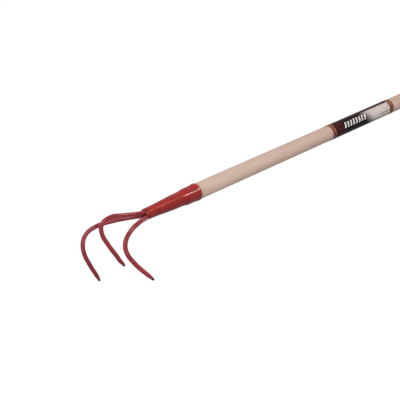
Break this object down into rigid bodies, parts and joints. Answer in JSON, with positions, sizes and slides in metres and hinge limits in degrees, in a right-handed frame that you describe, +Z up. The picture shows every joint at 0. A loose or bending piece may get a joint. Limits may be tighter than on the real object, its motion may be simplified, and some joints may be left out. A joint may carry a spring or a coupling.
{
  "type": "garden claw cultivator",
  "caption": "Long-handled claw cultivator: bent round steel tines welded into the neck of a rolled, painted socket on a straight round wooden handle with a printed wrap.",
  "frame": {"origin": "middle of the part's bounding box, on the ground that the outer tines' tips and the handle's end rest on", "axes": "+Z up; the handle runs along X and slopes down by under 3 degrees to its end at +X, the claw is at -X and points down; the tool's right side is -Y"},
  "size_m": [1.4046, 0.1498, 0.1033],
  "materials": {
    "handle_wood": "bare sanded ash, pale",
    "socket_paint": "gloss red paint, dipped",
    "tine_paint": "gloss red paint, dipped",
    "weld_paint": "painted weld, semi-gloss",
    "nail_paint": "gloss red paint over steel",
    "film_print": "printed film, dark to light grey",
    "band_print": "printed band, orange-brown with a gold line"
  },
  "bodies": {
    "root": {"handle": "handle_wood", "socket": "socket_paint", "seam_weld": "weld_paint", "tine_left": "tine_paint", "tine_centre": "tine_paint", "tine_right": "tine_paint", "neck_weld_left": "weld_paint", "neck_weld_right": "weld_paint", "neck_weld_under": "weld_paint", "handle_nail": "nail_paint", "label_band_front": "band_print", "label_film": "film_print", "label_band_rear": "band_print"}
  },
  "joints": []
}
